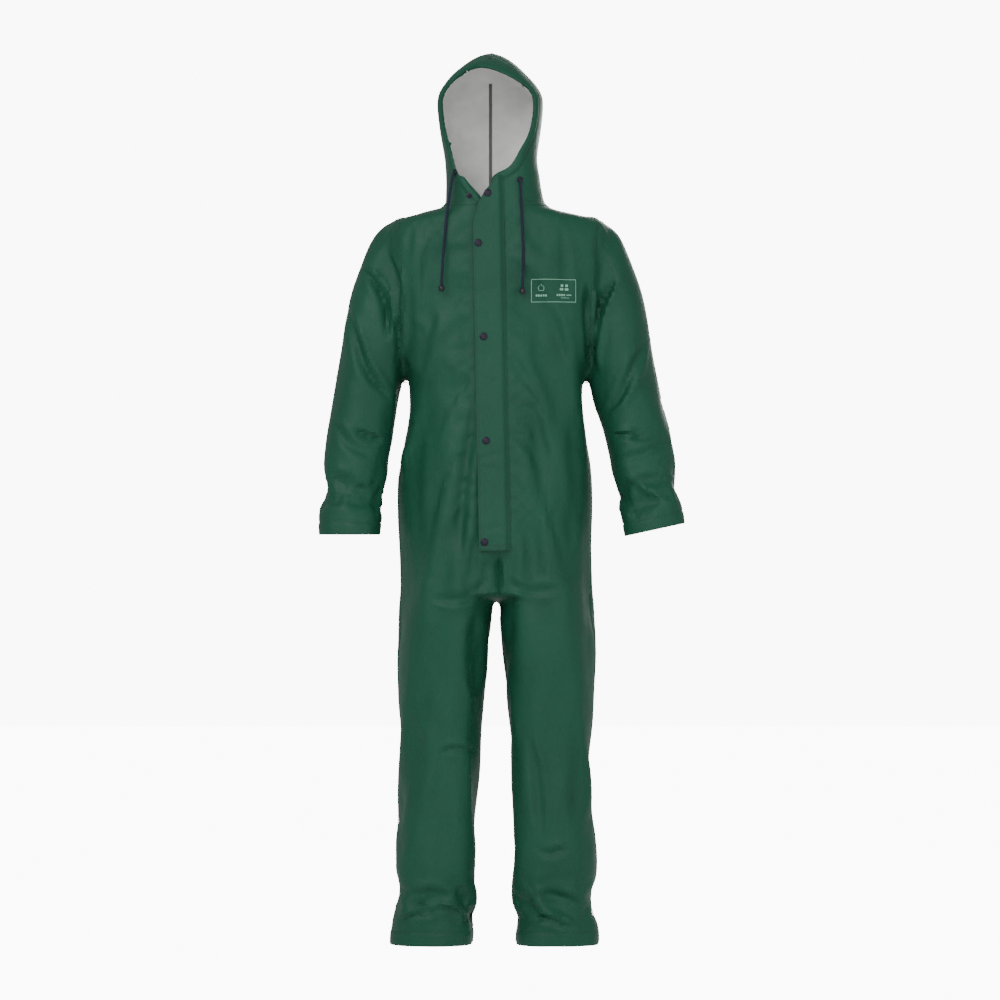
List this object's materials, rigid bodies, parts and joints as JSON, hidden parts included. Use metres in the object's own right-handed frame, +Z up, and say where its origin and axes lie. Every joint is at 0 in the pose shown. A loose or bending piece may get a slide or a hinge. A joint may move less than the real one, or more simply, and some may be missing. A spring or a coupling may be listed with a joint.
{
  "type": "chemical protective suit",
  "caption": "Hooded one-piece coverall of green coated cloth, with a storm flap over the front zip, press studs, hood drawcord, and open hemmed sleeves and legs",
  "frame": {"origin": "the middle of the neck, level with the line where the hood meets the shoulders", "axes": "+Z up along the body, +X to the wearer's left, the front faces -Y"},
  "size_m": [0.7202, 0.2617, 1.763],
  "materials": {
    "coated_cloth": "satin polyvinyl coating on knitted cloth",
    "cord": "braided",
    "zip_plastic": "moulded",
    "tape": "woven",
    "dark_metal": "dark plated",
    "print": "screen print"
  },
  "bodies": {
    "trunk": {"front_panel_right": "coated_cloth", "front_panel_left": "coated_cloth", "back_panel": "coated_cloth", "neck_right": "coated_cloth", "neck_left": "coated_cloth", "throat_hem_right": "coated_cloth", "throat_hem_left": "coated_cloth", "sleeve_head_right": "coated_cloth", "sleeve_head_left": "coated_cloth", "zip_guard": "coated_cloth", "zip_tape_right": "tape", "zip_tape_left": "tape", "zip_teeth_right": "zip_plastic", "zip_teeth_left": "zip_plastic", "zip_stops": "dark_metal", "snap_studs": "dark_metal", "snap_backs": "dark_metal", "eyelet_right": "dark_metal", "eyelet_left": "dark_metal", "chest_print": "print", "hanger_loop": "tape"},
    "hood": {"hood_right": "coated_cloth", "hood_left": "coated_cloth", "face_hem": "coated_cloth", "drawcord_hood": "cord"},
    "upper_arm_right": {"upper_sleeve_right": "coated_cloth"},
    "upper_arm_left": {"upper_sleeve_left": "coated_cloth"},
    "forearm_right": {"lower_sleeve_right": "coated_cloth", "cuff_hem_right": "coated_cloth"},
    "forearm_left": {"lower_sleeve_left": "coated_cloth", "cuff_hem_left": "coated_cloth"},
    "thigh_right": {"thigh_front_right": "coated_cloth", "thigh_back_right": "coated_cloth"},
    "thigh_left": {"thigh_front_left": "coated_cloth", "thigh_back_left": "coated_cloth"},
    "shin_right": {"shin_front_right": "coated_cloth", "shin_back_right": "coated_cloth", "leg_hem_right": "coated_cloth"},
    "shin_left": {"shin_front_left": "coated_cloth", "shin_back_left": "coated_cloth", "leg_hem_left": "coated_cloth"},
    "flap": {"storm_flap": "coated_cloth", "snap_caps": "dark_metal", "snap_sockets": "dark_metal"},
    "slider": {"zip_slider": "dark_metal"},
    "pull": {"zip_pull": "dark_metal"},
    "cord_right": {"drawcord_right": "cord", "cord_end_right": "cord"},
    "cord_left": {"drawcord_left": "cord", "cord_end_left": "cord"}
  },
  "joints": [
    {"name": "hood_tilt", "type": "hinge", "parent": "trunk", "child": "hood", "pos_m": [0, 0.03, 0.09], "axis": [-1, 0, 0], "range_deg": [0, 45]},
    {"name": "shoulder_right", "type": "hinge", "parent": "trunk", "child": "upper_arm_right", "pos_m": [-0.262, 0, -0.345], "axis": [0, 1, 0], "range_deg": [0, 50]},
    {"name": "shoulder_left", "type": "hinge", "parent": "trunk", "child": "upper_arm_left", "pos_m": [0.262, 0, -0.345], "axis": [0, -1, 0], "range_deg": [0, 50]},
    {"name": "elbow_right", "type": "hinge", "parent": "upper_arm_right", "child": "forearm_right", "pos_m": [-0.274, -0.006, -0.44], "axis": [-0.9816, 0, 0.1908], "range_deg": [0, 70]},
    {"name": "elbow_left", "type": "hinge", "parent": "upper_arm_left", "child": "forearm_left", "pos_m": [0.274, -0.006, -0.44], "axis": [-0.9816, 0, -0.1908], "range_deg": [0, 70]},
    {"name": "hip_right", "type": "hinge", "parent": "trunk", "child": "thigh_right", "pos_m": [-0.106, 0, -0.83], "axis": [-1, 0, 0], "range_deg": [-15, 45]},
    {"name": "hip_left", "type": "hinge", "parent": "trunk", "child": "thigh_left", "pos_m": [0.106, 0, -0.83], "axis": [-1, 0, 0], "range_deg": [-15, 45]},
    {"name": "knee_right", "type": "hinge", "parent": "thigh_right", "child": "shin_right", "pos_m": [-0.112, 0, -1.07], "axis": [1, 0, 0], "range_deg": [0, 45]},
    {"name": "knee_left", "type": "hinge", "parent": "thigh_left", "child": "shin_left", "pos_m": [0.112, 0, -1.07], "axis": [1, 0, 0], "range_deg": [0, 45]},
    {"name": "storm_flap_open", "type": "hinge", "parent": "trunk", "child": "flap", "pos_m": [0.02047, -0.11651, -0.33954], "axis": [-0.0192, 0.0297, 0.9994], "range_deg": [0, 140]},
    {"name": "zip_slide", "type": "slide", "parent": "trunk", "child": "slider", "axis": [0.0192, -0.0297, -0.9994], "range_m": [0, 0.61]},
    {"name": "zip_pull_swing", "type": "hinge", "parent": "slider", "child": "pull", "pos_m": [-0.0164, -0.10723, -0.03433], "axis": [0.0006, 0.9996, -0.0297], "range_deg": [-25, 25]},
    {"name": "drawcord_right_swing", "type": "hinge", "parent": "trunk", "child": "cord_right", "pos_m": [-0.0846, -0.0928, 0.0624], "axis": [-1, 0, 0], "range_deg": [0, 60]},
    {"name": "drawcord_left_swing", "type": "hinge", "parent": "trunk", "child": "cord_left", "pos_m": [0.0452, -0.1072, 0.046], "axis": [-1, 0, 0], "range_deg": [0, 60]}
  ]
}
